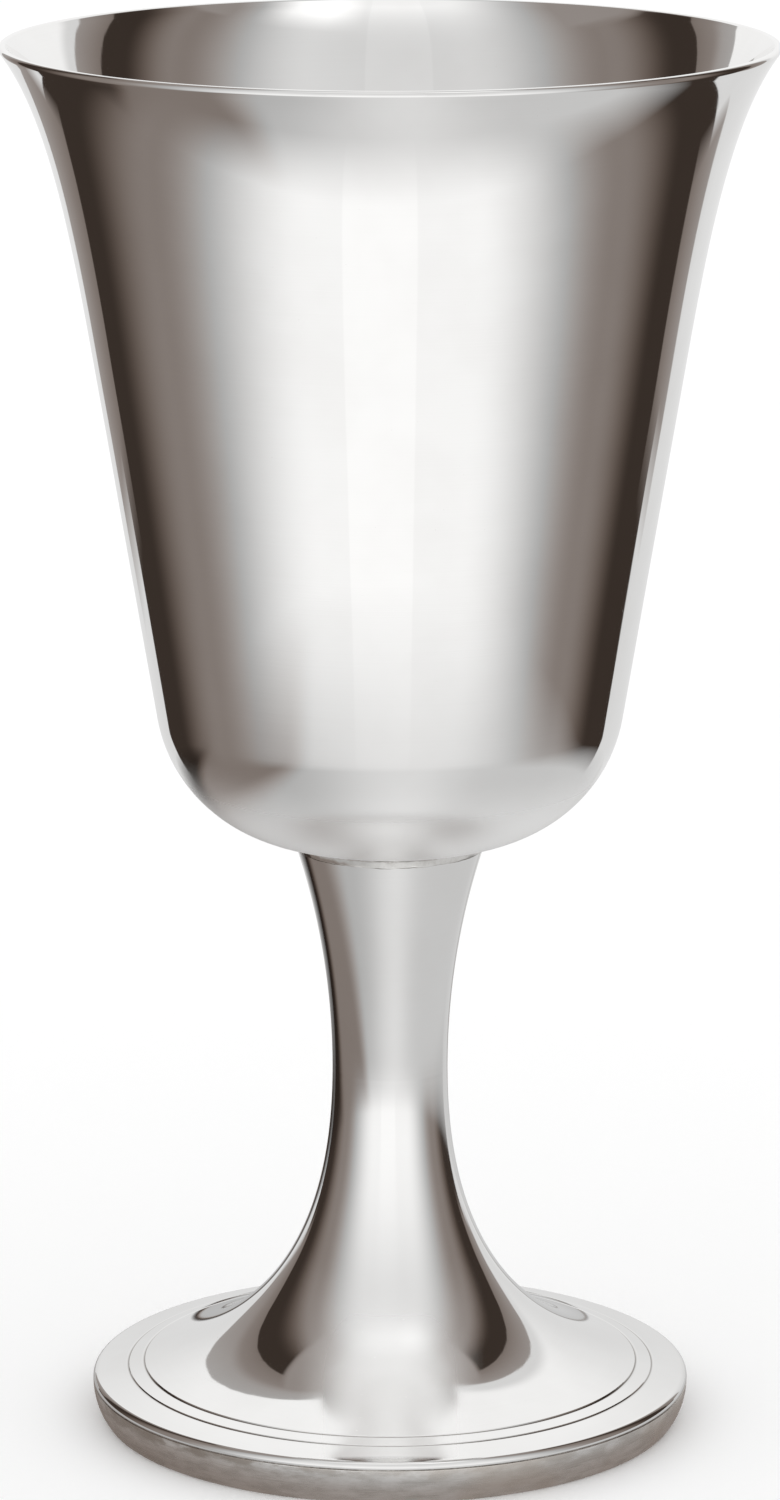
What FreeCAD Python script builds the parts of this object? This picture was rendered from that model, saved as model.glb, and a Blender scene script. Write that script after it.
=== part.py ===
import FreeCAD, Part
import math
import os

# A communion chalice in polished pewter: a spun cup on a hollow hourglass stem and dished foot.
# The pieces are spun or turned, and are held together by soft solder. Nothing moves.
# Frame: +Z up along the chalice's axis, with the origin at the centre of the base.
# Every piece is a solid of revolution, drawn as a closed outline in the XZ plane, where X is the radius.

# Driving dimensions, in millimetres and degrees.

# Whole chalice
overall_height = 165.0
rim_diameter = 90.0
foot_diameter = 71.4

# Bowl: flat seat, shallow bottom arc, corner arc, straight opening wall, flared lip
bowl_wall = 1.2
bowl_seat_height = 70.4
bowl_flat_radius = 6.3
bowl_bottom_radius = 30.7
bowl_bottom_sweep = 16.2
bowl_corner_radius = 17.7
flare_height = 37.9
flare_overhang = 10.7
flare_lower_reach = 14.9
flare_upper_reach = 9.5
lip_angle = 36.5

# Stem
waist_diameter = 13.7
waist_height = 42.9
stem_wall = 1.5
upper_stem_radius = 87.7
waist_solder_gap = 0.2

# Joint between bowl and stem
bowl_joint_gap = 0.5
bowl_fillet = 0.35
stem_cap_thickness = 1.6
stem_cap_clearance = 0.05

# Sleeve inside the waist
waist_sleeve_length = 18.0
waist_sleeve_wall = 1.0
waist_sleeve_clearance = 0.05

# Foot: the stem runs out into a dish that ends in a rounded edge
foot_edge_height = 5.4
foot_edge_thickness = 0.9
foot_edge_radius = 0.8
foot_dish_slope = 8.0
foot_waist_reach = 24.1
foot_dish_reach = 17.5
foot_seat_width = 3.1

# Two turned lines in the dish, given by how far each lies inside the foot's edge
turned_line_insets = (4.25, 6.15)
turned_line_width = 0.4
turned_line_depth = 0.22

# Band under the foot's edge
band_solder_gap = 0.1
band_solder_recess = 0.12
band_thickness = 2.1
band_face_radius = 7.0
band_bottom_rounding = 0.45

# Base plate, set up against the foot's seat inside the band
base_plate_thickness = 1.0
base_plate_clearance = 0.05
base_plate_flange = 7.5
base_plate_step = 1.1
base_plate_step_width = 1.6
base_solder_leg = 0.75
vent_diameter = 1.6
vent_offset = 10.0

AXIS_POINT = FreeCAD.Vector(0, 0, 0)
AXIS_UP = FreeCAD.Vector(0, 0, 1)


def at(radius, height):
    """A point of an outline."""
    return FreeCAD.Vector(radius, 0, height)


def along(angle, length):
    """A step of a given length, at an angle in degrees above the outward direction."""
    turn = math.radians(angle)
    return at(length * math.cos(turn), length * math.sin(turn))


def line(start, end):
    """A straight stretch of an outline."""
    return Part.LineSegment(start, end)


def arc(centre, radius, first, last):
    """A round stretch about a centre, from one angle to another."""
    middle = 0.5 * (first + last)
    points = [centre + along(angle, radius) for angle in (first, middle, last)]
    return Part.Arc(*points)


def sweep(start, start_angle, start_reach, end, end_angle, end_reach):
    """A cubic curve that leaves start at one angle and arrives at end at another."""
    curve = Part.BezierCurve()
    curve.setPoles([
        start,
        start + along(start_angle, start_reach),
        end - along(end_angle, end_reach),
        end,
    ])
    return curve


def parallel(curve, distance, stations=14):
    """A smooth curve that lies at a distance to the left of another, along its whole length."""
    points = []
    for index in range(stations + 1):
        place = index / stations
        tangent = curve.tangent(place)[0]
        left = FreeCAD.Vector(-tangent.z, 0, tangent.x)
        points.append(curve.value(place) + left * distance)
    offset = Part.BSplineCurve()
    offset.interpolate(
        Points=points,
        InitialTangent=curve.tangent(0)[0],
        FinalTangent=curve.tangent(1)[0],
    )
    return offset


def spin(stretches):
    """The solid that a closed outline sweeps round the chalice's axis."""
    edges = [stretch.toShape() for stretch in stretches]
    wire = Part.Wire(Part.__sortEdges__(edges))
    return Part.Face(wire).revolve(AXIS_POINT, AXIS_UP, 360)


def height_on(curve, radius):
    """The height of a falling outline curve where it reaches a radius, by halving."""
    low, high = 0.0, 1.0
    for _ in range(40):
        middle = 0.5 * (low + high)
        if curve.value(middle).x < radius:
            low = middle
        else:
            high = middle
    return curve.value(low).z


def slope_on(curve, radius):
    """The angle of an outline curve near a radius, in degrees above the outward direction."""
    step = 0.05
    rise = height_on(curve, radius + step) - height_on(curve, radius - step)
    return math.degrees(math.atan2(rise, 2 * step))


# Bowl outline. The bottom arc and the corner arc are tangent, and the wall is the tangent from the
# corner arc to the point where the lip begins to flare.

rim_radius = rim_diameter / 2
lip_round = bowl_wall / 2
lip_centre = at(rim_radius - lip_round, overall_height - lip_round)
lip_heading = 90 - lip_angle
flare_start = at(rim_radius - flare_overhang, overall_height - flare_height)

bottom_centre = at(bowl_flat_radius, bowl_seat_height + bowl_bottom_radius)
bottom_last = -90 + bowl_bottom_sweep
corner_centre = bottom_centre + along(bottom_last, bowl_bottom_radius - bowl_corner_radius)
to_flare = flare_start - corner_centre
to_flare_angle = math.degrees(math.atan2(to_flare.z, to_flare.x))
corner_last = to_flare_angle - math.degrees(math.acos(bowl_corner_radius / to_flare.Length))
wall_heading = corner_last + 90


def bowl_side(offset):
    """The bowl's profile from its axis to its lip, moved inwards from the outer face by offset."""
    inward = along(wall_heading + 90, offset)
    flare_end = lip_centre + along(lip_heading - 90, lip_round)
    flare = sweep(
        flare_start, wall_heading, flare_lower_reach,
        flare_end, lip_heading, flare_upper_reach,
    )
    corner_end = corner_centre + along(corner_last, bowl_corner_radius)
    seat = bowl_seat_height + offset
    return [
        line(at(0, seat), at(bowl_flat_radius, seat)),
        arc(bottom_centre, bowl_bottom_radius - offset, -90, bottom_last),
        arc(corner_centre, bowl_corner_radius - offset, bottom_last, corner_last),
        line(corner_end + inward, flare_start + inward),
        parallel(flare, offset) if offset else flare,
    ]


def bowl():
    """Spun cup with an even wall and a fully rounded lip."""
    lip = arc(lip_centre, lip_round, lip_heading - 90, lip_heading + 90)
    floor = line(at(0, bowl_seat_height), at(0, bowl_seat_height + bowl_wall))
    return spin(bowl_side(0) + [lip] + bowl_side(bowl_wall) + [floor])


def bowl_bottom_height(radius):
    """The height of the bowl's underside within its bottom arc."""
    outward = radius - bowl_flat_radius
    rise = math.sqrt(bowl_bottom_radius ** 2 - outward ** 2)
    return bottom_centre.z - rise


# Stem outline. The upper half is one arc about a centre level with the waist.

waist_radius = waist_diameter / 2
stem_centre = at(waist_radius + upper_stem_radius, waist_height)
stem_top_height = bowl_seat_height - bowl_joint_gap
half_gap = waist_solder_gap / 2


def stem_angle(radius, height):
    """The angle about the stem's centre at which an arc of a given radius reaches a height."""
    return 180 - math.degrees(math.asin((height - waist_height) / radius))


def stem_radius_at(radius, height):
    """The distance from the axis of the stem arc of a given radius at a height."""
    return (stem_centre + along(stem_angle(radius, height), radius)).x


def stem_band(low, high):
    """The upper stem's wall between two heights, as a closed outline."""
    outer = upper_stem_radius
    inner = upper_stem_radius + stem_wall
    outer_arc = arc(stem_centre, outer, stem_angle(outer, low), stem_angle(outer, high))
    inner_arc = arc(stem_centre, inner, stem_angle(inner, high), stem_angle(inner, low))
    top = line(outer_arc.EndPoint, inner_arc.StartPoint)
    bottom = line(inner_arc.EndPoint, outer_arc.StartPoint)
    return [outer_arc, top, inner_arc, bottom]


def upper_stem():
    """Spun trumpet from the waist up to the bowl."""
    return spin(stem_band(waist_height + half_gap, stem_top_height))


cap_bottom = bowl_seat_height - stem_cap_thickness
cap_radius = stem_radius_at(upper_stem_radius + stem_wall, cap_bottom) - stem_cap_clearance


def stem_cap():
    """Disc in the stem's mouth, whose top face carries the flat of the bowl."""
    return spin([
        line(at(0, cap_bottom), at(cap_radius, cap_bottom)),
        line(at(cap_radius, cap_bottom), at(cap_radius, bowl_seat_height)),
        line(at(cap_radius, bowl_seat_height), at(0, bowl_seat_height)),
        line(at(0, bowl_seat_height), at(0, cap_bottom)),
    ])


def bowl_solder():
    """Solder in the wedge between the stem's top edge and the bowl, ending in a small fillet."""
    inner = cap_radius
    edge = stem_radius_at(upper_stem_radius, stem_top_height)
    outer = edge + bowl_fillet
    foot = at(edge, stem_top_height)
    brow = at(outer, bowl_bottom_height(outer))
    first = math.degrees(math.asin((inner - bowl_flat_radius) / bowl_bottom_radius)) - 90
    last = math.degrees(math.asin((outer - bowl_flat_radius) / bowl_bottom_radius)) - 90
    under_bowl = arc(bottom_centre, bowl_bottom_radius, last, first)
    hollow = Part.Arc(foot, (foot + brow) * 0.5 + along(160, 0.05), brow)
    return spin([
        line(at(inner, stem_top_height), foot),
        hollow,
        under_bowl,
        line(under_bowl.EndPoint, at(inner, stem_top_height)),
    ])


# The lower half of the stem runs out into the dish in one sweep.

foot_radius = foot_diameter / 2
edge_centre = at(foot_radius - foot_edge_radius, foot_edge_height - foot_edge_radius)
dish_end = edge_centre + along(90 - foot_dish_slope, foot_edge_radius)
edge_bottom = foot_edge_height - foot_edge_thickness
band_top = edge_bottom - band_solder_gap
band_inner = foot_radius - band_thickness
seat_inner = foot_radius - foot_seat_width
lower_waist = at(waist_radius, waist_height - half_gap)

foot_sweep = sweep(
    lower_waist, -90, foot_waist_reach,
    dish_end, -foot_dish_slope, foot_dish_reach,
)


def turned_line(inset):
    """The ring that a pointed tool cuts out of the dish."""
    radius = foot_radius - inset
    centre = at(radius, height_on(foot_sweep, radius))
    slope = slope_on(foot_sweep, radius)
    point = centre + along(slope - 90, turned_line_depth)
    near = centre - along(slope, turned_line_width / 2)
    far = centre + along(slope, turned_line_width / 2)
    lift = along(slope + 90, turned_line_depth)
    return spin([line(point, far), line(far, far + lift), line(far + lift, near + lift),
                 line(near + lift, near), line(near, point)])


def foot():
    """Lower stem and dished foot in one spinning, with a thicker seat faced off under its edge."""
    underside = parallel(foot_sweep, -stem_wall)
    wall_end = underside.value(underside.LastParameter)
    skin = spin([
        foot_sweep,
        line(dish_end, wall_end),
        underside,
        line(underside.value(underside.FirstParameter), lower_waist),
    ])
    seat_top = height_on(foot_sweep, seat_inner) - stem_wall / 2
    seat = spin([
        line(at(seat_inner, edge_bottom), at(foot_radius, edge_bottom)),
        line(at(foot_radius, edge_bottom), at(foot_radius, edge_centre.z)),
        arc(edge_centre, foot_edge_radius, 0, 90 - foot_dish_slope),
        line(dish_end, at(seat_inner, seat_top)),
        line(at(seat_inner, seat_top), at(seat_inner, edge_bottom)),
    ])
    body = skin.fuse(seat).removeSplitter()
    faced_off = Part.makeCylinder(2 * foot_radius, edge_bottom)
    body = body.cut(faced_off)
    for inset in turned_line_insets:
        body = body.cut(turned_line(inset))
    return body


def waist_solder():
    """Solder between the two stem spinnings, dressed flush with them."""
    high = waist_height + half_gap
    low = waist_height - half_gap
    inner = waist_radius - stem_wall
    return spin([
        line(at(inner, low), at(waist_radius, low)),
        line(at(waist_radius, low), at(waist_radius, high)),
        line(at(waist_radius, high), at(inner, high)),
        line(at(inner, high), at(inner, low)),
    ])


def waist_sleeve():
    """Tube inside the waist, a close fit in both spinnings."""
    outer = waist_radius - stem_wall - waist_sleeve_clearance
    inner = outer - waist_sleeve_wall
    low = waist_height - waist_sleeve_length / 2
    tube = Part.makeCylinder(outer, waist_sleeve_length, at(0, low))
    bore = Part.makeCylinder(inner, waist_sleeve_length, at(0, low))
    return tube.cut(bore)


def band_solder():
    """Thin ring of solder between the foot's edge and the band, lying just inside both faces."""
    outer = foot_radius - band_solder_recess
    return spin([
        line(at(band_inner, band_top), at(outer, band_top)),
        line(at(outer, band_top), at(outer, edge_bottom)),
        line(at(outer, edge_bottom), at(band_inner, edge_bottom)),
        line(at(band_inner, edge_bottom), at(band_inner, band_top)),
    ])


def foot_band():
    """Turned ring that curves in to a rounded bottom edge, on which the chalice stands."""
    face_centre = at(foot_radius - band_face_radius, band_top)
    rounding_centre_height = band_bottom_rounding
    drop = band_top - rounding_centre_height
    face_last = -math.degrees(math.asin(drop / (band_face_radius - band_bottom_rounding)))
    rounding_centre = face_centre + along(face_last, band_face_radius - band_bottom_rounding)
    stand = at(rounding_centre.x, 0)
    return spin([
        arc(face_centre, band_face_radius, 0, face_last),
        arc(rounding_centre, band_bottom_rounding, face_last, -90),
        line(stand, at(band_inner, 0)),
        line(at(band_inner, 0), at(band_inner, band_top)),
        line(at(band_inner, band_top), at(foot_radius, band_top)),
    ])


plate_radius = band_inner - base_plate_clearance
plate_top = edge_bottom
plate_bottom = plate_top - base_plate_thickness


def base_plate():
    """Disc pressed with one raised step, set inside the band against the foot's seat, and vented."""
    flange_inner = plate_radius - base_plate_flange
    field_radius = flange_inner - base_plate_step_width
    rise = base_plate_step
    corners = [
        at(0, plate_bottom + rise),
        at(field_radius, plate_bottom + rise),
        at(flange_inner, plate_bottom),
        at(plate_radius, plate_bottom),
        at(plate_radius, plate_top),
        at(flange_inner, plate_top),
        at(field_radius, plate_top + rise),
        at(0, plate_top + rise),
    ]
    outline = [line(corners[i - 1], corners[i]) for i in range(len(corners))]
    vent = Part.makeCylinder(vent_diameter / 2, 3 * rise + base_plate_thickness,
                             FreeCAD.Vector(vent_offset, 0, plate_bottom - rise))
    return spin(outline).cut(vent)


def base_solder():
    """Fillet of solder in the corner between the base plate and the band, and in their clearance."""
    corner = at(band_inner, plate_bottom)
    low = corner - along(90, base_solder_leg)
    near = corner - along(0, base_solder_leg)
    hollow = Part.Arc(near, corner + along(225, 0.45 * base_solder_leg), low)
    return spin([
        hollow,
        line(low, at(band_inner, plate_top)),
        line(at(band_inner, plate_top), at(plate_radius, plate_top)),
        line(at(plate_radius, plate_top), at(plate_radius, plate_bottom)),
        line(at(plate_radius, plate_bottom), near),
    ])


pieces = [
    bowl,
    bowl_solder,
    stem_cap,
    upper_stem,
    waist_sleeve,
    waist_solder,
    foot,
    band_solder,
    foot_band,
    base_plate,
    base_solder,
]

os.makedirs("parts", exist_ok=True)
for piece in pieces:
    piece().exportStep(f"parts/{piece.__name__}.step")
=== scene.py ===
import math

import bpy
import numpy as np
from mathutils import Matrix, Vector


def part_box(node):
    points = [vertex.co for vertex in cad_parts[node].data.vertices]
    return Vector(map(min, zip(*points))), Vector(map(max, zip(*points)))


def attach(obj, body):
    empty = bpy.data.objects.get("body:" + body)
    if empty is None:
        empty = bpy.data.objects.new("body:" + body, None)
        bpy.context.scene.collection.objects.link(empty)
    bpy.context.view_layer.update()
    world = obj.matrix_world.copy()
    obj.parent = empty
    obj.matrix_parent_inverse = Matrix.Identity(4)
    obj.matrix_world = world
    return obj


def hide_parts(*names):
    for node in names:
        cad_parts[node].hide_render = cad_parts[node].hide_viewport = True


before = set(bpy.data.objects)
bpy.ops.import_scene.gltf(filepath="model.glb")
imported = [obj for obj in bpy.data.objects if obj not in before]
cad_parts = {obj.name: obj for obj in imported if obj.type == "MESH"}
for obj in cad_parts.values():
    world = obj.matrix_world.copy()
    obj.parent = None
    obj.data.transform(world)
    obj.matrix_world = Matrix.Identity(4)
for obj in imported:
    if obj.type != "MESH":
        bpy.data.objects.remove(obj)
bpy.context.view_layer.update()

MM = 0.001

# FOOT. The lower half of the stem and the dish, spun from pewter sheet in one piece over a chuck.
# Two lines are turned into the dish with a pointed tool, its edge is rounded, and it is buffed.

foot_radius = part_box("foot")[1].x
foot_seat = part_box("foot")[0].z
edge_height = 5.4 * MM
edge_round = 0.8 * MM
seat_round = 0.06 * MM
dish_slope = -8.0
dish_reach = 17.5 * MM
waist_reach = 24.1 * MM
waist_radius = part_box("waist_solder")[1].x
waist_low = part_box("waist_solder")[0].z
waist_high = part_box("waist_solder")[1].z
stem_wall = 1.5 * MM
seat_inner = foot_radius - 3.1 * MM
line_insets = (4.25 * MM, 6.15 * MM)
line_depths = (0.11 * MM, 0.16 * MM)
line_inner_side = 0.09 * MM
line_outer_side = 0.34 * MM
line_nearby = (-0.008, 0.014)
foot_columns = 360


def at(radius, height):
    """One point of an outline: its distance from the axis, and its height."""
    return np.array([[radius, height]])


def along(angle, length):
    """A step of that length, at an angle in degrees above the outward direction."""
    turn = np.radians(np.atleast_1d(angle))
    return np.stack([np.cos(turn), np.sin(turn)], 1) * length


def straight(start, end, count=2):
    """Evenly spaced points from one point to another."""
    return start + (end - start) * np.linspace(0, 1, count)[:, None]


def arc(centre, radius, first, last, count):
    """Points centre + radius * (cos a, sin a), for angles a from first to last in degrees."""
    return centre + along(np.linspace(first, last, count), radius)


def sweep(start, start_angle, start_reach, end, end_angle, end_reach, shares):
    """A cubic Bezier that leaves start at one angle and reaches end at another, at shares t of it:
    (1-t)^3 p0 + 3t(1-t)^2 p1 + 3t^2(1-t) p2 + t^3 p3."""
    t = np.atleast_1d(shares)[:, None]
    first = start + along(start_angle, start_reach)
    last = end - along(end_angle, end_reach)
    return (1 - t) ** 3 * start + 3 * t * (1 - t) ** 2 * first + 3 * t * t * (1 - t) * last + t ** 3 * end


def inward(points):
    """The unit direction into the metal, left of travel, at each point of an outline stretch."""
    step = np.gradient(points, axis=0)
    step /= np.linalg.norm(step, axis=1, keepdims=True)
    return np.stack([-step[:, 1], step[:, 0]], 1)


def join(*stretches):
    """Stretches end to end as one outline, without doubled points where two of them meet."""
    points = np.concatenate(stretches)
    apart = np.linalg.norm(np.diff(points, axis=0), axis=1) > 1e-7
    return points[np.concatenate([[True], apart])]


def skin(name, radius, height, poles=()):
    """A mesh on a grid of outline station i and turn j, with corners at
    (r_ij cos a_j, r_ij sin a_j, z_ij). Without poles the stations close into a ring of metal. With
    poles, two heights on the axis, the first and last stations close there in fans."""
    rows, columns = radius.shape
    turns = np.linspace(0, 2 * math.pi, columns, endpoint=False)
    places = np.stack([radius * np.cos(turns), radius * np.sin(turns), height], -1).reshape(-1, 3)
    step = np.hypot(np.diff(radius, axis=0), np.diff(height, axis=0))
    run = np.concatenate([np.zeros((1, columns)), np.cumsum(step, 0)]).ravel()
    lower = np.arange(rows * columns).reshape(rows, columns)
    upper = np.roll(lower, -1, 0)
    if poles:
        lower, upper = lower[:-1], upper[:-1]
    faces = [np.stack([lower, np.roll(lower, -1, 1), np.roll(upper, -1, 1), upper], -1).reshape(-1, 4)]
    if poles:
        places = np.concatenate([places, [[0, 0, poles[0]], [0, 0, poles[1]]]])
        run = np.concatenate([run, [0, run.max()]])
        first, last = lower[0], upper[-1]
        start, end = np.full(columns, rows * columns), np.full(columns, rows * columns + 1)
        faces.append(np.stack([start, np.roll(first, -1), first], -1))
        faces.append(np.stack([last, np.roll(last, -1), end], -1))
    corners = np.concatenate([face.ravel() for face in faces])
    sizes = np.concatenate([np.full(len(face), face.shape[1]) for face in faces])
    mesh = bpy.data.meshes.new(name)
    mesh.vertices.add(len(places))
    mesh.vertices.foreach_set("co", places.ravel())
    mesh.loops.add(len(corners))
    mesh.loops.foreach_set("vertex_index", corners)
    mesh.polygons.add(len(sizes))
    mesh.polygons.foreach_set("loop_start", np.concatenate([[0], np.cumsum(sizes)[:-1]]))
    mesh.update(calc_edges=True)
    mesh.validate()
    mesh.attributes.new("run", "FLOAT", "POINT").data.foreach_set("value", run.astype(np.float32))
    mesh.shade_smooth()
    mesh.set_sharp_from_angle(angle=math.radians(32))
    piece = bpy.data.objects.new(name, mesh)
    bpy.context.scene.collection.objects.link(piece)
    return piece


def ripple(height, turn):
    """The slight unevenness that spinning over a chuck leaves in a wall, from about -1 to 1: long
    waves that run round it and up it."""
    return (
        0.40 * np.sin(2 * turn + 90 * height + 0.7)
        + 0.30 * np.sin(3 * turn - 160 * height + 2.1)
        + 0.22 * np.sin(5 * turn + 240 * height + 4.0)
        + 0.25 * np.sin(420 * height + 0.8 * np.sin(turn + 1.0))
        + 0.15 * np.sin(7 * turn - 330 * height + 1.3)
    )


def spin(name, outline, columns=360, uneven=0.0, poles=False):
    """The surface that an outline sweeps round the axis, anticlockwise about the metal. uneven moves
    it in and out by ripple. With poles, the outline's first and last points are on the axis."""
    ends = (outline[0, 1], outline[-1, 1]) if poles else ()
    stations = outline[1:-1] if poles else outline
    turns = np.linspace(0, 2 * math.pi, columns, endpoint=False)
    height = np.repeat(stations[:, 1:], columns, 1)
    radius = stations[:, :1] + uneven * ripple(height, turns)
    return skin(name, radius, height, ends)


edge_centre = at(foot_radius - edge_round, edge_height - edge_round)
dish_end = edge_centre + along(90 + dish_slope, edge_round)
lower_waist = at(waist_radius, waist_low)


def foot_sweep(shares):
    """The line from the waist down and out over the dish, to the start of the rounded edge."""
    return sweep(lower_waist, -90, waist_reach, dish_end, dish_slope, dish_reach, shares)


def turned_lines(points):
    """How deep the two turned lines are cut, from 0 to 1: a steep inner side and a long outer side."""
    cuts = np.zeros((len(line_insets), len(points)))
    for cut, inset in zip(cuts, line_insets):
        outward = points[:, 0] - (foot_radius - inset)
        side = np.where(outward < 0, -outward / line_inner_side, outward / line_outer_side)
        cut[:] = np.clip(1 - side, 0, 1) ** 1.3
    return cuts


coarse = np.linspace(0, 1, 400)
line_shares = np.interp(
    foot_radius - np.array(line_insets), foot_sweep(coarse)[:, 0], coarse)
close_by = (line_shares[:, None] + np.linspace(*line_nearby, 30)).ravel()
shares = np.unique(np.concatenate([np.linspace(0, 1, 110), close_by]))
face = foot_sweep(shares)[::-1]
cuts = turned_lines(face)
face = face + inward(face) * (np.array(line_depths) @ cuts)[:, None]
bare = foot_sweep(np.linspace(0, 1, 26))[::-1]
underside = (bare + inward(bare) * stem_wall)[::-1]
underside = underside[underside[:, 0] < seat_inner]
underside[:, 1] = underside[:, 1].clip(foot_seat)
seat_rise = underside[-1, 1]
foot_outline = join(
    at(seat_inner, seat_rise),
    at(seat_inner, foot_seat),
    straight(at(seat_inner, foot_seat), at(foot_radius - seat_round, foot_seat), 4),
    arc(at(foot_radius - seat_round, foot_seat + seat_round), seat_round, -90, 0, 6),
    arc(edge_centre, edge_round, 0, 90 + dish_slope, 22),
    face,
    at(waist_radius - stem_wall, waist_low),
    underside,
)
foot = spin("foot_spinning", foot_outline, foot_columns)
on_face = np.linalg.norm(foot_outline[:, None] - face[None], axis=2)
tarnish = np.where(on_face.min(1) < 1e-7, cuts.max(0)[on_face.argmin(1)], 0)
foot.data.attributes.new("tarnish", "FLOAT", "POINT").data.foreach_set(
    "value", np.repeat(tarnish, foot_columns).astype(np.float32))
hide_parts("foot")
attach(foot, "root")


class Value:
    """A number, colour or vector that varies over a surface: one output of a node. Sums and products
    with it add Math nodes."""

    def __init__(self, finish, socket):
        self.finish, self.socket = finish, socket

    def math(self, operation, *numbers):
        settings = {"operation": operation}
        return self.finish.node("ShaderNodeMath", settings, {i: n for i, n in enumerate(numbers)})

    def __add__(self, other):
        return self.math("ADD", self, other)

    def __sub__(self, other):
        return self.math("SUBTRACT", self, other)

    def __rsub__(self, other):
        return self.math("SUBTRACT", other, self)

    def __mul__(self, other):
        return self.math("MULTIPLY", self, other)

    __radd__, __rmul__ = __add__, __mul__

    def size(self):
        return self.math("ABSOLUTE", self)

    def rise(self, low, high):
        """0 up to low, 1 from high on, and a smooth rise between them."""
        return self.finish.node(
            "ShaderNodeMapRange", {"interpolation_type": "SMOOTHSTEP"},
            {"Value": self, "From Min": low, "From Max": high})


class Finish:
    """A material as it is made, with the one way of adding a node to it."""

    def __init__(self, name):
        self.material = bpy.data.materials.new(name)
        self.material.use_nodes = True
        self.tree = self.material.node_tree
        self.tree.nodes.clear()
        self.place = self.node("ShaderNodeTexCoord", output="Object")

    def node(self, kind, settings=None, inputs=None, output=0):
        """Adds a node: its settings first, then the values or links of its sockets."""
        node = self.tree.nodes.new(kind)
        for setting, value in (settings or {}).items():
            setattr(node, setting, value)
        for socket, value in (inputs or {}).items():
            if isinstance(value, Value):
                self.tree.links.new(value.socket, node.inputs[socket])
            else:
                node.inputs[socket].default_value = value
        return Value(self, node.outputs[output]) if len(node.outputs) else None

    def measure(self, attribute):
        """A number stored on the mesh's points."""
        return self.node("ShaderNodeAttribute", {"attribute_name": attribute}, output="Fac")

    def part(self, axis):
        """The x, y or z of the place on the piece, in metres."""
        return self.node("ShaderNodeSeparateXYZ", None, {0: self.place}, axis)

    def noise(self, vector, scale, detail=2.0, roughness=0.5):
        """Noise about 0.5, with that many bumps a metre."""
        return self.node(
            "ShaderNodeTexNoise", None,
            {"Vector": vector, "Scale": scale, "Detail": detail, "Roughness": roughness})

    def round_the_piece(self, across, along_it):
        """A place that goes fast across the marks of turning, with the outline's run, and slowly
        along them, so that noise on it is drawn out round the piece."""
        return self.node("ShaderNodeCombineXYZ", None, {
            0: self.measure("run") * across, 1: self.part("X") * along_it, 2: self.part("Y") * along_it})

    def blend(self, share, first, second):
        """The first colour where share is 0, and the second where it is 1."""
        return self.node(
            "ShaderNodeMix", {"data_type": "RGBA"}, {0: share, 6: first, 7: second}, output=2)

    def metal(self, colour, roughness, height, depth, frost=0.0):
        """Bare metal, with height as its relief, that many metres deep. frost, from 0 to 1, is how
        much of it scatters light like a frosted skin and doesn't mirror."""
        relief = self.node("ShaderNodeBump", None, {
            "Strength": 1.0, "Distance": depth, "Height": height})
        shader = self.node("ShaderNodeBsdfPrincipled", None, {
            "Base Color": colour, "Metallic": 1 - frost, "Roughness": roughness, "Normal": relief})
        self.node("ShaderNodeOutputMaterial", None, {"Surface": shader})
        return self.material


def polished_pewter(finish, line_show, haze_and_highlight, frost=0.0, tarnish=0.0):
    """Buffed pewter: fine lines left round the piece, soft clouds from the buff, rare pits, and
    haze_and_highlight, from 0 to 1, which lightens and roughens it where the buff didn't reach and paints
    a highlight on the front of the foot; where frost is more than 0 it is a frosted skin. tarnish darkens
    what is cut in."""
    fine = finish.noise(finish.round_the_piece(7000, 28), 1.0, 3)
    broad = finish.noise(finish.round_the_piece(1500, 12), 1.0, 2)
    clouds = finish.noise(finish.place, 85, 3, 0.6)
    pits = finish.noise(finish.place, 2600, 1).rise(0.795, 0.83)
    scuffs = finish.noise(finish.round_the_piece(9000, 160), 1.0, 1).rise(0.70, 0.80)
    share = clouds.rise(0.35, 0.75) * 0.45 + fine * 0.3 * line_show + pits * 0.7
    colour = finish.blend(share, (0.85, 0.846, 0.838, 1), (0.79, 0.781, 0.77, 1))
    # Haze lightens the colour towards near-white; on the front of the foot this is a painted highlight.
    colour = finish.blend(haze_and_highlight * 0.8, colour, (0.95, 0.947, 0.94, 1))
    if isinstance(tarnish, Value):
        colour = finish.blend(tarnish, colour, (0.20, 0.175, 0.15, 1))
    roughness = 0.02 + 0.02 * clouds + 0.02 * line_show * fine + 0.10 * pits + 0.03 * scuffs + 0.30 * haze_and_highlight
    height = fine * 0.35 * line_show + broad * 0.65 - pits * 1.5 - scuffs * 0.3
    return finish.metal(colour, roughness, height, 0.0006 * MM, frost)


# Painted highlight: the front of the dish, from its middle out to the rounded edge and up to the stem, is
# lightened to near-white and frosted.
rubbed_sides = (3.5 * MM, 11.5 * MM)
rubbed_behind = (-12 * MM, 2 * MM)
rubbed_top = (26 * MM, 42 * MM)
rubbed_front = (33.6 * MM, 34.8 * MM)
painted_highlight_frost_top = (9 * MM, 22 * MM)
stem_zone = (24 * MM, 44 * MM)
rubbed_most, stem_zone_haze, tarnish_most = 0.62, 0.12, 0.8

foot_finish = Finish("foot_polish")
rubbed_side = foot_finish.part("X").size()
rubbed = (1 - rubbed_side.rise(*rubbed_sides)) * (1 - foot_finish.part("Y").rise(*rubbed_behind))
rubbed = rubbed * (1 - foot_finish.part("Z").rise(*rubbed_top)) * (
    1 - (foot_finish.part("Y") * -1).rise(*rubbed_front))
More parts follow.
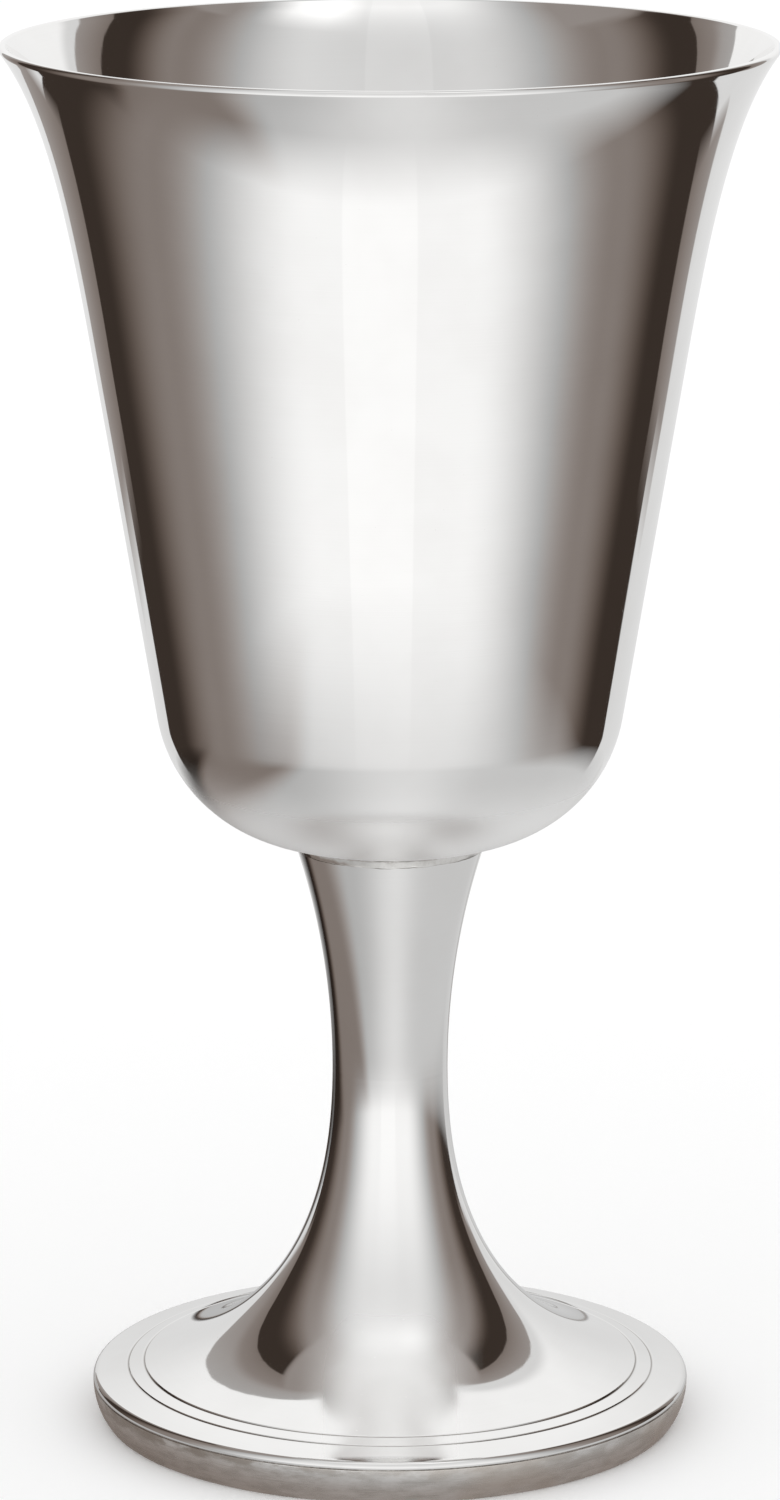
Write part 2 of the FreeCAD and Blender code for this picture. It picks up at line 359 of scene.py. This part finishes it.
# The foot's haze: the painted highlight on its front, and a little haze all round near the stem.
foot_haze_and_highlight = rubbed * rubbed_most + foot_finish.part("Z").rise(*stem_zone) * stem_zone_haze
foot_highlight_frost = rubbed * (1 - foot_finish.part("Z").rise(*painted_highlight_frost_top)) * rubbed_most
foot_tarnish = foot_finish.measure("tarnish").rise(0.25, 0.95) * tarnish_most
foot.data.materials.append(polished_pewter(foot_finish, 1.1, foot_haze_and_highlight, foot_highlight_frost, foot_tarnish))

# FOOT BAND. A ring turned from thicker pewter and soldered under the foot's edge. Its face was left
# satin from the lathe, and curves in to the rounded bottom edge that the chalice stands on.

band_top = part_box("foot_band")[1].z
band_face_radius = 7.0 * MM
band_thickness = 2.1 * MM
band_bottom_round = 0.45 * MM
band_top_round = 0.10 * MM
band_inner_round = 0.15 * MM
band_inner = foot_radius - band_thickness

face_centre = at(foot_radius - band_face_radius, band_top - band_top_round)
to_round = band_face_radius - band_bottom_round
face_drop = face_centre[0, 1] - band_bottom_round
face_last = -math.degrees(math.asin(face_drop / to_round))
round_centre = face_centre + along(face_last, to_round)
band_outline = join(
    at(band_inner, band_top),
    straight(at(band_inner, band_top), at(band_inner, band_inner_round), 4),
    arc(at(band_inner + band_inner_round, band_inner_round), band_inner_round, 180, 270, 5),
    arc(round_centre, band_bottom_round, -90, face_last, 12),
    arc(face_centre, band_face_radius, face_last, 0, 30),
    arc(face_centre - along(0, band_top_round) + along(0, band_face_radius), band_top_round, 0, 90, 10),
)
foot_band = spin("satin_foot_band", band_outline, foot_columns)
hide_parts("foot_band")
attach(foot_band, "root")


def satin_pewter(name):
    """Pewter straight off the lathe: fine rings and scratches along them, mottled, and a little warm
    where it has begun to dull, with painted shade in brown along its top below the joint, strongest on
    the left."""
    finish = Finish(name)
    rings = finish.noise(finish.round_the_piece(4200, 22), 1.0, 4, 0.65)
    scratches = finish.noise(finish.round_the_piece(7000, 110), 1.0, 2).rise(0.60, 0.72)
    mottle = finish.noise(finish.round_the_piece(900, 260), 1.0, 4, 0.6)
    patches = finish.noise(finish.place, 75, 2)
    bright = finish.blend(mottle.rise(0.35, 0.68), (0.87, 0.86, 0.845, 1), (0.70, 0.685, 0.66, 1))
    warm = finish.blend(patches.rise(0.48, 0.66) * 0.6, bright, (0.72, 0.655, 0.59, 1))
    # Painted shade: the top of the band is darkened brown, more on the left than on the right, broken up
    # by the mottle.
    left = (finish.part("X") * -1).rise(-4 * MM, 26 * MM) * 0.6 + 0.25
    painted_shade = finish.part("Z").rise(2.3 * MM, 4.4 * MM) * left * mottle.rise(0.25, 0.62)
    painted_shade_colour = finish.blend(painted_shade, warm, (0.36, 0.30, 0.25, 1))
    colour = finish.blend(scratches * 0.4, painted_shade_colour, (0.46, 0.44, 0.41, 1))
    roughness = 0.17 + 0.13 * mottle + 0.06 * rings
    height = rings * 0.8 + mottle * 0.2 - scratches * 0.4
    return finish.metal(colour, roughness, height, 0.0025 * MM)


foot_band.data.materials.append(satin_pewter("band_satin"))

# BAND SOLDER. What shows of the joint between the foot's edge and the band: a thin line that lies
# just inside both faces, and wanders a little where the solder didn't quite fill it.

solder_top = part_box("band_solder")[1].z
solder_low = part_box("band_solder")[0].z
solder_recess = 0.03 * MM
solder_wander = 0.04 * MM
solder_bulge = 0.02 * MM


def wander(turn, seed, slowest=3, fastest=70):
    """A line that wanders as a hand-run joint does, from about -1 to 1: sines of whole numbers of
    waves round the ring, with seeded sizes and starts."""
    random = np.random.default_rng(seed)
    waves = np.arange(slowest, fastest)
    sizes = random.normal(size=len(waves)) / waves ** 0.75
    starts = random.uniform(0, 2 * math.pi, len(waves))
    line = (sizes[:, None] * np.sin(waves[:, None] * turn + starts[:, None])).sum(0)
    return line / np.abs(line).max()


turns = np.linspace(0, 2 * math.pi, foot_columns, endpoint=False)
level = 0 * turns
solder_face = foot_radius - solder_recess + solder_wander * wander(turns, 11)
band_solder = skin(
    "band_solder_line",
    np.stack([
        band_inner + level, solder_face, solder_face + solder_bulge, solder_face, band_inner + level]),
    np.stack([
        solder_low + level, solder_low + level, 0.5 * (solder_low + solder_top) + level,
        solder_top + level, solder_top + level]),
)
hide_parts("band_solder")
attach(band_solder, "root")


def solder_finish(name, colour, darker):
    """Soft solder: duller than the pewter, and spotted where the flux has darkened it."""
    finish = Finish(name)
    spots = finish.noise(finish.place, 1500, 3, 0.7)
    lengths = finish.noise(finish.place, 160, 2)
    shade = spots.rise(0.35, 0.65) * 0.5 + lengths.rise(0.35, 0.65) * 0.5
    height = spots + finish.noise(finish.place, 400, 2)
    return finish.metal(finish.blend(shade, colour, darker), 0.30 + 0.2 * spots, height, 0.01 * MM)


band_solder.data.materials.append(
    solder_finish("band_solder_metal", (0.62, 0.60, 0.57, 1), (0.22, 0.20, 0.18, 1)))

# UPPER STEM. The upper half of the hourglass, spun as a trumpet on the same arc all the way up, and
# soldered to the lower half at the waist.

stem_radius = 87.7 * MM
stem_columns = 300
stem_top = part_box("upper_stem")[1].z
waist_height = 0.5 * (waist_low + waist_high)
stem_centre = at(waist_radius + stem_radius, waist_height)


def stem_angle(radius, height):
    """The angle about the stem's centre at which an arc of that radius reaches a height."""
    return 180 - math.degrees(math.asin((height - waist_height) / radius))


outer_arc = arc(
    stem_centre, stem_radius,
    stem_angle(stem_radius, waist_high), stem_angle(stem_radius, stem_top), 90)
inner_arc = arc(
    stem_centre, stem_radius + stem_wall,
    stem_angle(stem_radius + stem_wall, stem_top), stem_angle(stem_radius + stem_wall, waist_high), 20)
upper_stem = spin("upper_stem_spinning", join(inner_arc[-1:], outer_arc, inner_arc), stem_columns)
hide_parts("upper_stem")
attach(upper_stem, "root")
stem_finish = Finish("stem_polish")
stem_haze = 0.12 + 0.06 * stem_finish.part("Z").rise(50 * MM, 70 * MM)
upper_stem.data.materials.append(polished_pewter(stem_finish, 1.2, stem_haze))

# WAIST. A sleeve inside lines up the two spinnings, and the solder between them is dressed flush and
# polished with them, so that no seam shows.

waist_inner = waist_radius - stem_wall
waist_solder = spin("waist_solder_ring", join(
    at(waist_inner, waist_low),
    straight(at(waist_radius, waist_low), at(waist_radius, waist_high), 4),
    at(waist_inner, waist_high),
), stem_columns)
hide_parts("waist_solder")
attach(waist_solder, "root")
waist_solder.data.materials.append(upper_stem.data.materials[0])


def turned_inside(name):
    """Pewter that is left as it came off the spinning lathe: open rings and a dull grey skin."""
    finish = Finish(name)
    across = finish.node("ShaderNodeVectorMath", {"operation": "MULTIPLY"}, {
        0: finish.place, 1: (1, 1, 0)})
    from_axis = finish.node("ShaderNodeVectorMath", {"operation": "LENGTH"}, {0: across}, "Value")
    rings_place = finish.node("ShaderNodeCombineXYZ", None, {
        0: from_axis * 2600, 1: finish.part("Z") * 2600, 2: finish.part("X") * 25})
    rings = finish.noise(rings_place, 1.0, 3)
    skin_mottle = finish.noise(finish.place, 170, 4, 0.6)
    colour = finish.blend(skin_mottle.rise(0.3, 0.7), (0.70, 0.69, 0.67, 1), (0.52, 0.505, 0.48, 1))
    return finish.metal(colour, 0.24 + 0.14 * skin_mottle, rings + skin_mottle * 0.4, 0.010 * MM)


inside_skin = turned_inside("inside_skin")
sleeve = bpy.data.objects["waist_sleeve"]
sleeve.data.materials.clear()
sleeve.data.materials.append(inside_skin)

# BOWL. A deep cup spun from pewter sheet: a flat to stand on the stem, a round bottom, a straight
# wall that opens upwards, and a flared lip dressed round and polished.

bowl_low, bowl_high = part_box("bowl")
bowl_wall = 1.2 * MM
lip_thickness = 0.95 * MM
flat_radius = 6.3 * MM
bottom_radius = 30.7 * MM
bottom_sweep = 16.2
corner_radius = 17.7 * MM
flare_height = 37.9 * MM
flare_overhang = 10.7 * MM
flare_lower_reach = 14.9 * MM
flare_upper_reach = 9.5 * MM
lip_angle = 36.5
bowl_uneven = 0.010 * MM
unbuffed_top = (75 * MM, 84 * MM)

lip_round = lip_thickness / 2
lip_heading = 90 - lip_angle
lip_centre = at(bowl_high.x - lip_round, bowl_high.z - lip_round)
flare_start = at(bowl_high.x - flare_overhang, bowl_high.z - flare_height)
bottom_centre = at(flat_radius, bowl_low.z + bottom_radius)
bottom_last = bottom_sweep - 90
corner_centre = bottom_centre + along(bottom_last, bottom_radius - corner_radius)
to_flare = (flare_start - corner_centre)[0]
corner_last = math.degrees(
    math.atan2(to_flare[1], to_flare[0]) - math.acos(corner_radius / np.hypot(*to_flare)))
wall_heading = corner_last + 90


def bowl_side(depth, detail):
    """The bowl's profile from the axis to the lip, at a depth inside its outer face."""
    corner_end = corner_centre + along(corner_last, corner_radius - depth)
    flare = sweep(
        flare_start, wall_heading, flare_lower_reach,
        lip_centre + along(lip_heading - 90, lip_round), lip_heading, flare_upper_reach,
        np.linspace(0, 1, 46))
    taper = np.linspace(0, 1, 46)[:, None] ** 2 * (lip_thickness / bowl_wall - 1) + 1
    flare = flare + inward(flare) * depth * taper
    return join(
        straight(at(0, bowl_low.z + depth), at(flat_radius, bowl_low.z + depth), 6),
        arc(bottom_centre, bottom_radius - depth, -90, bottom_last, 10),
        arc(corner_centre, corner_radius - depth, bottom_last, corner_last, detail),
        straight(corner_end, flare[:1], detail),
        flare,
    )


lip = arc(lip_centre, lip_round, lip_heading - 90, lip_heading + 90, 25)
bowl = spin(
    "spun_bowl", join(bowl_side(0, 44), lip, bowl_side(bowl_wall, 36)[::-1]),
    columns=320, uneven=bowl_uneven, poles=True)
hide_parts("bowl")
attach(bowl, "root")
bowl_finish = Finish("bowl_polish")
unbuffed = 1 - bowl_finish.part("Z").rise(*unbuffed_top)
bowl.data.materials.append(polished_pewter(bowl_finish, 1.0, unbuffed * 1.2, unbuffed * 0.3))

# BOWL JOINT. Solder run by hand between the bowl and the top of the stem and dressed back: a narrow
# ribbon of metal whose two edges wander, each with the thin dark line where it ends.

joint_low = 0.12 * MM
joint_low_wander = 0.08 * MM
joint_reach = 0.26 * MM
joint_reach_wander = 0.14 * MM
joint_proud = 0.03 * MM
joint_hollow = 0.10 * MM
joint_inner = 9.3 * MM
joint_bowl_edge = 11.2 * MM
joint_in_stem, joint_in_bowl = 0.3 * MM, 0.1 * MM
ribbon_rows = 9

turns = np.linspace(0, 2 * math.pi, 720, endpoint=False)
joint_foot = stem_top - joint_low + joint_low_wander * wander(turns, 5, 4, 90)
stem_edge = stem_centre[0, 0] - np.sqrt(stem_radius ** 2 - (joint_foot - waist_height) ** 2)
bowl_edge = joint_bowl_edge + joint_reach + joint_reach_wander * wander(turns, 8, 4, 90)
joint_head = bottom_centre[0, 1] - np.sqrt(bottom_radius ** 2 - (bowl_edge - flat_radius) ** 2)
share = np.linspace(0, 1, ribbon_rows)[:, None]
hollow = joint_hollow * 4 * share * (1 - share) - joint_proud
ribbon_radius = stem_edge + (bowl_edge - stem_edge) * share - hollow * 0.7
ribbon_height = joint_foot + (joint_head - joint_foot) * share + hollow * 0.7
level = 0 * turns
ribbon = skin(
    "bowl_joint_solder",
    np.stack([
        joint_inner + level, stem_edge - joint_in_stem, stem_edge, *ribbon_radius, bowl_edge,
        bowl_edge - joint_in_bowl, joint_inner + level]),
    np.stack([
        stem_top + level, joint_foot + 0.1 * MM, joint_foot - 0.01 * MM, *ribbon_height,
        joint_head + 0.01 * MM, joint_head + 0.25 * MM, bowl_low.z + level]),
)
edge = np.zeros((ribbon_rows + 6, len(turns)))
edge[1:4], edge[-5:-2] = 1.0, 1.0
edge *= 0.55 + 0.45 * wander(turns, 21, 5, 120)
ribbon.data.attributes.new("edge", "FLOAT", "POINT").data.foreach_set(
    "value", edge.ravel().astype(np.float32))
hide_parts("bowl_solder")
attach(ribbon, "root")


def dressed_solder(name):
    """Solder dressed and buffed with the metal beside it, dark along its two edges."""
    finish = Finish(name)
    dark = finish.measure("edge").rise(0.15, 0.75)
    spots = finish.noise(finish.place, 900, 3, 0.6)
    body = finish.blend(spots.rise(0.4, 0.7) * 0.5, (0.80, 0.79, 0.77, 1), (0.62, 0.60, 0.57, 1))
    colour = finish.blend(dark, body, (0.16, 0.14, 0.12, 1))
    return finish.metal(colour, 0.14 + 0.1 * spots + 0.2 * dark, spots, 0.006 * MM)


ribbon.data.materials.append(dressed_solder("bowl_joint_metal"))

# STEM CAP. A disc that closes the top of the stem under the bowl, so that the solder has a floor.

stem_cap = bpy.data.objects["stem_cap"]
stem_cap.data.materials.clear()
stem_cap.data.materials.append(inside_skin)

# BASE PLATE. A pressed disc that closes the foot from beneath, with a vent for the heat of soldering,
# and the solder round its edge.

base_plate = bpy.data.objects["base_plate"]
base_plate.data.materials.clear()
base_plate.data.materials.append(turned_inside("base_plate_skin"))
base_solder = bpy.data.objects["base_solder"]
base_solder.data.materials.clear()
base_solder.data.materials.append(
    solder_finish("base_solder_metal", (0.62, 0.60, 0.57, 1), (0.34, 0.32, 0.29, 1)))

# FLOOR. A plain pale sheet, lit evenly from all round, that the polished metal doesn't mirror.


def sheet_of(name, places, wrap):
    """A mesh on a grid of places, with the last column joined to the first where it wraps."""
    rows, columns = places.shape[:2]
    index = np.arange(rows * columns).reshape(rows, columns)
    beside = np.roll(index, -1, 1)
    if not wrap:
        index, beside = index[:, :-1], beside[:, :-1]
    faces = np.stack([index[:-1], beside[:-1], beside[1:], index[1:]], -1).reshape(-1, 4)
    mesh = bpy.data.meshes.new(name)
    mesh.from_pydata(places.reshape(-1, 3).tolist(), [], faces.tolist())
    sheet = bpy.data.objects.new(name, mesh)
    bpy.context.scene.collection.objects.link(sheet)
    return sheet


spread = np.linspace(-3, 3, 13)
floor = sheet_of("pale_floor", np.stack([*np.meshgrid(spread, spread), np.zeros((13, 13))], -1), False)
floor.visible_glossy = False
paper = Finish("pale_paper")
grain = paper.noise(paper.place, 900, 3)
paper_colour = paper.blend(grain, (0.955, 0.955, 0.955, 1), (0.94, 0.94, 0.94, 1))
paper_shader = paper.node(
    "ShaderNodeBsdfPrincipled", None, {"Base Color": paper_colour, "Roughness": 0.9})
paper.node("ShaderNodeOutputMaterial", None, {"Surface": paper_shader})
floor.data.materials.append(paper.material)

# STUDIO. What the polished metal mirrors: a wide softbox in front, brighter over its middle panel, a
# grey wing, a black flag and a small grey card at each side, a white backdrop and a white ceiling.
# Angles run from the camera's side, to the right as plus; light of 1 looks white in perfect metal.

studio_radius = 0.35
studio_reach = 0.95
black_light = 0.035
softbox_light, softbox_full, softbox_gone = 0.87, (-28, 30), (-90, 86)
panel_light, panel_edges = 0.06, (-17, 10)
wing_light, wing_full, wing_gone = 0.20, (-92, 88), (-124, 114)
backdrop_light, backdrop_edges = 0.78, (-141, 131)
card_back_edge, card_front_edge = (-153, 138), (-134, 125)
card_back_light, card_front_light, card_bottom = 0.33, 0.19, 0.01
backdrop_brighter_up, backdrop_from, backdrop_rise = 0.34, (138, 144), (0.0, 0.30)
level_glow_height, level_glow_spread = -0.08, 0.27
even_share, level_share, upper_share, upper_rise = 0.68, 0.32, 0.28, (0.5, 1.0)
flag_tops, above_flags, flag_edge = (0.50, 0.61), 0.30, 0.03
lamp_light, lamp_way, lamp_width, lamp_flatness = 0.34, 38, 16, 1.6
lamp_bottom, lamp_rise = 0.60, 0.16
lean_from, lean_over, lean, lean_heights = 95, 20, 10, (-0.3, 0.4)
end_light, end_ring, end_rings = 0.5, 0.35, 24


def slope(place, low, high):
    """0 up to low, 1 from high on, and between them 3t^2 - 2t^3, with t the share of the way."""
    share = np.clip((place - low) / (high - low), 0, 1)
    return share ** 2 * (3 - 2 * share)


def soft_card(place, full, gone):
    """1 between the two places in full, falling smoothly to 0 at the two in gone."""
    return slope(place, gone[0], full[0]) * (1 - slope(place, full[1], gone[1]))


def warmed(light):
    """Dark parts of the room are warm and bright ones white: a strength as a colour."""
    share = np.clip(light / 0.5, 0, 1)[..., None]
    warm = np.array([1.36, 0.93, 0.70])
    return light[..., None] * (warm + (1 - warm) * share ** 0.6)


def glowing(sheet, light, cover=None):
    """Gives a studio sheet its light, colour by point, and lets only mirrored rays see it. cover, from
    0 to 1 by point, lets it fade out at its edge."""
    glow = np.concatenate([warmed(light), np.ones(light.shape + (1,))], -1)
    shown = np.ones(light.shape) if cover is None else cover
    sheet.data.attributes.new("cover", "FLOAT", "POINT").data.foreach_set(
        "value", shown.ravel().astype(np.float32))
    sheet.data.attributes.new("glow", "FLOAT_COLOR", "POINT").data.foreach_set(
        "color", glow.ravel().astype(np.float32))
    finish = Finish(sheet.name + "_light")
    colour = finish.node("ShaderNodeAttribute", {"attribute_name": "glow"}, output="Color")
    emission = finish.node("ShaderNodeEmission", None, {"Color": colour})
    fading = finish.node("ShaderNodeMixShader", None, {
        0: finish.measure("cover"), 1: finish.node("ShaderNodeBsdfTransparent"), 2: emission})
    finish.node("ShaderNodeOutputMaterial", None, {"Surface": fading})
    finish.material.cycles.emission_sampling = "NONE"
    sheet.data.materials.append(finish.material)
    for kind in ("camera", "diffuse", "transmission", "volume_scatter", "shadow"):
        setattr(sheet, "visible_" + kind, False)


angles = np.linspace(-180, 180, 900, endpoint=False)
heights = np.linspace(-studio_reach, studio_reach, 77)[:, None]
turn = np.radians(angles)
sideways = np.clip((np.abs(angles) - lean_from) / lean_over, 0, 1) * np.sign(angles)
slanted = angles + lean * heights.clip(*lean_heights) * sideways
wall_light = (
    black_light + softbox_light * soft_card(slanted, softbox_full, softbox_gone)
    + panel_light * ((slanted > panel_edges[0]) & (slanted < panel_edges[1]))
    + wing_light * soft_card(slanted, wing_full, wing_gone))
on_backdrop = (slanted < backdrop_edges[0]) | (slanted > backdrop_edges[1])
wall_light = np.where(on_backdrop, backdrop_light, wall_light)
for back, front in zip(card_back_edge, card_front_edge):
    across = (slanted - back) / (front - back)
    on_card = (across > 0) & (across < 1) & (heights > card_bottom)
    wall_light = np.where(
        on_card, card_back_light + (card_front_light - card_back_light) * across, wall_light)
facing = np.clip(np.cos(turn), 0, 1) ** 0.7
level_glow = np.exp(-((heights - level_glow_height) / level_glow_spread) ** 2)
by_height = even_share + level_share * level_glow + upper_share * slope(heights, *upper_rise)
light = wall_light * (1 + (by_height - 1) * facing)
light = light * (
    1 + backdrop_brighter_up * slope(np.abs(angles), *backdrop_from) * slope(heights, *backdrop_rise))
flag_top = np.where(angles < 0, *flag_tops)
light = np.maximum(light, above_flags * np.clip((heights - flag_top) / flag_edge, 0, 1))
lamp = np.clip(lamp_flatness - np.abs(angles - lamp_way) / lamp_width, 0, 1)
lamp = lamp * np.clip((heights - lamp_bottom) / lamp_rise, 0, 1)
light = light + lamp_light * lamp
ring = np.stack([np.sin(turn), -np.cos(turn)], -1) * studio_radius
places = np.concatenate([
    np.broadcast_to(ring, (len(heights),) + ring.shape),
    np.broadcast_to(heights[..., None], (len(heights), len(angles), 1))], -1)
glowing(sheet_of("studio_wall", places, True), light)

inwards = np.linspace(1, 0.004, end_rings)[:, None]
middle = np.clip((1 - inwards) / end_ring, 0, 1)
ceiling_light = 0.50 + 1.5 * np.clip(np.cos(turn), 0, 1) ** 1.3
ceiling = light[-1] + (0.25 * ceiling_light + end_light - light[-1]) * middle
for name, height, glow in (
        ("studio_ceiling", studio_reach, ceiling),
        ("studio_underside", -studio_reach, light[0] + (end_light - light[0]) * middle)):
    places = np.concatenate(
        [ring * inwards[..., None], np.full((end_rings, len(angles), 1), height)], -1)
    glowing(sheet_of(name, places, True), glow)

# TABLE TOP. A glowing sheet for the part of the table close round the foot, that the underside of the
# bowl, the stem and
# the band mirror: a painted reflection of the lit table, brightest in front, grey in a straight-edged
# zone on the left, near black in one behind it, and with a painted contact shadow round the foot.

top_inside, top_fades_from, top_reach = 0.030, 0.145, 0.215
front_light, right_light, left_light = 0.18, 0.65, 0.51
front_way, front_spread, contact_shadow_light, under_foot = 8, 28, 0.34, (0.032, 0.052)
top_height = -0.0004
left_dim_way, left_dim_edge, left_dim_light = -105, (0.060, 0.105), 0.42
back_dim_way, back_dim_edge, back_dim_light = -155, (0.100, 0.135), 0.08

from_foot = top_inside + (top_reach - top_inside) * np.linspace(0, 1, 60)[:, None] + 0 * angles
on_left = slope(-angles, 10, 60) + slope(angles, 150, 180)
light = right_light + (left_light - right_light) * on_left
light = light + front_light * np.exp(-((angles - front_way) / front_spread) ** 2)
for way, edge, dim_light in (
        (left_dim_way, left_dim_edge, left_dim_light),
        (back_dim_way, back_dim_edge, back_dim_light)):
    into_dim = slope(from_foot * np.cos(np.radians(angles - way)), *edge)
    light = light * (1 + (dim_light - 1) * into_dim)
# Painted contact shadow: the glow is darker close round the foot.
light = light * (contact_shadow_light + (1 - contact_shadow_light) * slope(from_foot, *under_foot))
cover = np.clip((top_reach - from_foot) / (top_reach - top_fades_from), 0, 1)
places = np.stack([
    from_foot * np.sin(turn), -from_foot * np.cos(turn), np.full_like(from_foot, top_height)], -1)
glowing(sheet_of("table_top", places, True), light, cover)

# LIGHT AND CAMERA. Even white light from all round, and a long lens a little above the rim.

world = bpy.data.worlds.new("even_light")
bpy.context.scene.world = world
world.use_nodes = True
world.node_tree.nodes["Background"].inputs["Color"].default_value = (1, 1, 1, 1)
world.node_tree.nodes["Background"].inputs["Strength"].default_value = 1.1
bpy.context.scene.view_settings.view_transform = "Standard"
bpy.context.scene.cycles.glossy_bounces = 12

camera_distance = 0.75078
camera_height = 0.25507
camera_tilt = 13.0232
focal_length = 156.93
film_width = 36

lens = bpy.data.cameras.new("camera")
lens.lens = focal_length
lens.sensor_width = film_width
camera = bpy.data.objects.new("camera", lens)
camera.location = (0, -camera_distance, camera_height)
camera.rotation_euler = (math.radians(90 - camera_tilt), 0, 0)
bpy.context.scene.collection.objects.link(camera)
bpy.context.scene.camera = camera
